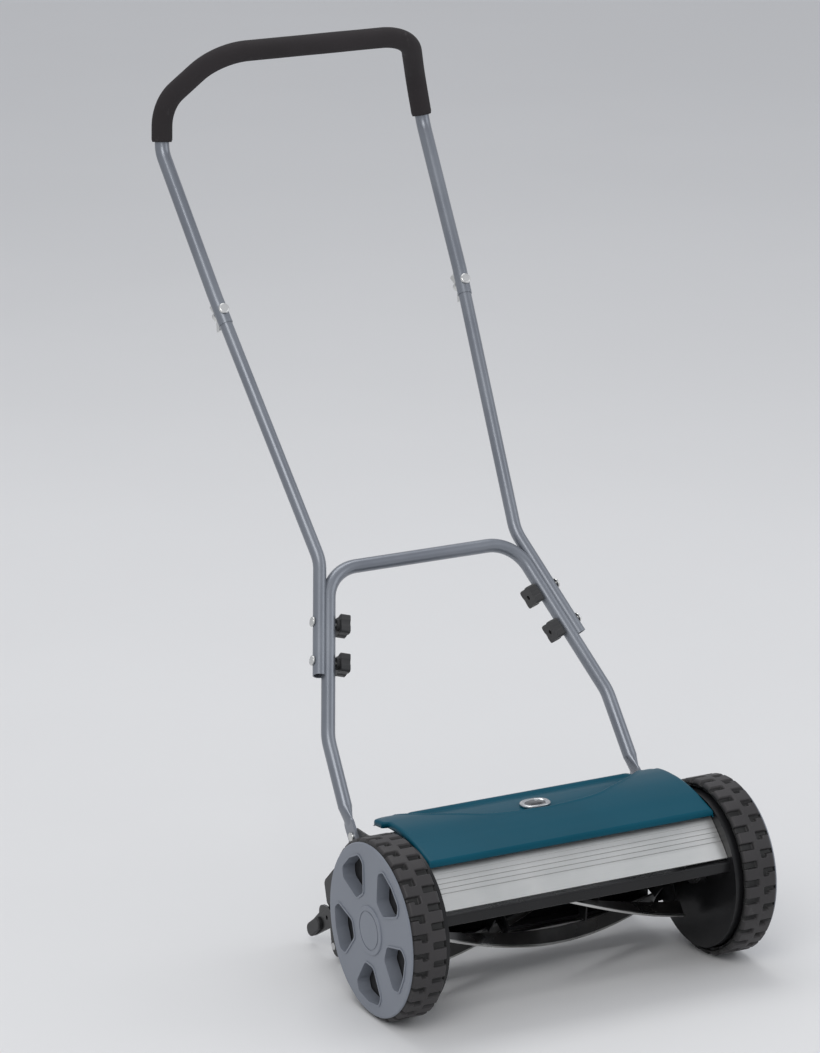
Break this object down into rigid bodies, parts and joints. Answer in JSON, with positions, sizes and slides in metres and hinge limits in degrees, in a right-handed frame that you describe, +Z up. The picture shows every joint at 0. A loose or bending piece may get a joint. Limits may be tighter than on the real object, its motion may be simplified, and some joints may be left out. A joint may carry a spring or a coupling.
{
  "type": "reel mower",
  "caption": "Push reel mower with a twisted-blade reel geared to two wheels, a rear roller and a tall looped tube handle with a foam grip.",
  "frame": {"origin": "on the ground, midway between the wheels and straight below their axis", "axes": "+X along the wheel axis to the right wheel, -Y forwards, +Z up"},
  "size_m": [0.551, 0.8866, 1.1608],
  "materials": {
    "tyre_rubber": "matte",
    "wheel_black": "matte",
    "disc_grey": "satin",
    "black_paint": "satin",
    "blade_steel": "brushed",
    "steel": "satin",
    "gear_steel": "satin",
    "bearing_brass": "satin",
    "bolt_zinc": "satin",
    "cover_teal": "gloss",
    "panel_aluminium": "satin",
    "badge_silver": "gloss",
    "tube_grey": "satin",
    "foam_black": "matte",
    "knob_black": "satin"
  },
  "bodies": {
    "chassis": {"side_plate_left": "black_paint", "side_plate_right": "black_paint", "axle_left": "steel", "axle_right": "steel", "axle_clips": "steel", "reel_bearing_left": "bearing_brass", "reel_bearing_right": "bearing_brass", "front_tie_bar": "black_paint", "rear_tie_rod": "black_paint", "deflector_panel": "panel_aluminium", "top_cover": "cover_teal", "badge": "badge_silver", "bed_knife": "blade_steel", "knife_carrier": "black_paint", "tie_screws": "bolt_zinc", "roller_pivot_bolts": "bolt_zinc", "height_clamp_bolts": "bolt_zinc", "lower_handle_frame": "tube_grey", "side_tube_left": "tube_grey", "side_tube_right": "tube_grey", "handle_loop": "tube_grey", "foam_grip": "foam_black", "frame_bolts": "bolt_zinc", "leg_bolts": "bolt_zinc", "loop_bolts": "bolt_zinc"},
    "wheel_left": {"tyre_left": "tyre_rubber", "wheel_body_left": "wheel_black", "wheel_disc_left": "disc_grey", "hub_cap_left": "disc_grey"},
    "wheel_right": {"tyre_right": "tyre_rubber", "wheel_body_right": "wheel_black", "wheel_disc_right": "disc_grey", "hub_cap_right": "disc_grey"},
    "reel": {"reel_shaft": "steel", "reel_blade_1": "blade_steel", "reel_blade_2": "blade_steel", "reel_blade_3": "blade_steel", "reel_blade_4": "blade_steel", "reel_blade_5": "blade_steel", "reel_spider_1": "black_paint", "reel_spider_2": "black_paint", "reel_spider_3": "black_paint", "reel_spider_4": "black_paint", "pinion_left": "gear_steel", "pinion_clips": "steel"},
    "pinion_right": {"pinion_right": "gear_steel"},
    "roller_lift": {"roller_arm_left": "black_paint", "roller_arm_right": "black_paint", "lever_pad_left": "wheel_black", "lever_pad_right": "wheel_black", "roller_rod": "steel"},
    "roller": {"roller_drums": "wheel_black"},
    "frame_knob_right_lower": {"frame_knob_right_lower": "knob_black"},
    "frame_knob_right_upper": {"frame_knob_right_upper": "knob_black"},
    "frame_knob_left_lower": {"frame_knob_left_lower": "knob_black"},
    "frame_knob_left_upper": {"frame_knob_left_upper": "knob_black"},
    "wing_nut_right": {"wing_nut_right": "bolt_zinc"},
    "wing_nut_left": {"wing_nut_left": "bolt_zinc"}
  },
  "joints": [
    {"name": "wheel_left_spin", "type": "hinge", "parent": "chassis", "child": "wheel_left", "pos_m": [-0.245, 0, 0.12], "axis": [1, 0, 0], "continuous": true},
    {"name": "wheel_right_spin", "type": "hinge", "parent": "chassis", "child": "wheel_right", "pos_m": [0.245, 0, 0.12], "axis": [1, 0, 0], "continuous": true},
    {"name": "reel_spin", "type": "hinge", "parent": "chassis", "child": "reel", "pos_m": [0, 0.04518, 0.10705], "axis": [1, 0, 0], "continuous": true},
    {"name": "pinion_right_spin", "type": "hinge", "parent": "chassis", "child": "pinion_right", "pos_m": [0.236, 0.04518, 0.10705], "axis": [1, 0, 0], "continuous": true},
    {"name": "roller_height", "type": "hinge", "parent": "chassis", "child": "roller_lift", "pos_m": [0, 0.132, 0.088], "axis": [1, 0, 0], "range_deg": [0, 14]},
    {"name": "roller_spin", "type": "hinge", "parent": "roller_lift", "child": "roller", "pos_m": [0, 0.2, 0.021], "axis": [1, 0, 0], "continuous": true},
    {"name": "frame_knob_right_lower_turn", "type": "hinge", "parent": "chassis", "child": "frame_knob_right_lower", "pos_m": [0.18188, 0.29425, 0.3859], "axis": [0.9551, 0.1742, 0.2398], "continuous": true},
    {"name": "frame_knob_right_upper_turn", "type": "hinge", "parent": "chassis", "child": "frame_knob_right_upper", "pos_m": [0.16528, 0.32569, 0.42919], "axis": [0.9551, 0.1742, 0.2398], "continuous": true},
    {"name": "frame_knob_left_lower_turn", "type": "hinge", "parent": "chassis", "child": "frame_knob_left_lower", "pos_m": [-0.18188, 0.29425, 0.3859], "axis": [-0.9551, 0.1742, 0.2398], "continuous": true},
    {"name": "frame_knob_left_upper_turn", "type": "hinge", "parent": "chassis", "child": "frame_knob_left_upper", "pos_m": [-0.16528, 0.32569, 0.42919], "axis": [-0.9551, 0.1742, 0.2398], "continuous": true},
    {"name": "wing_nut_right_turn", "type": "hinge", "parent": "chassis", "child": "wing_nut_right", "pos_m": [0.1876, 0.61115, 0.79656], "axis": [0, 0.809, -0.5878], "continuous": true},
    {"name": "wing_nut_left_turn", "type": "hinge", "parent": "chassis", "child": "wing_nut_left", "pos_m": [-0.1876, 0.61115, 0.79656], "axis": [0, 0.809, -0.5878], "continuous": true}
  ],
  "couplings": [
    {"joint": "reel_spin", "follows": "wheel_left_spin", "ratio": 4.6154},
    {"joint": "pinion_right_spin", "follows": "wheel_right_spin", "ratio": 4.6154}
  ]
}
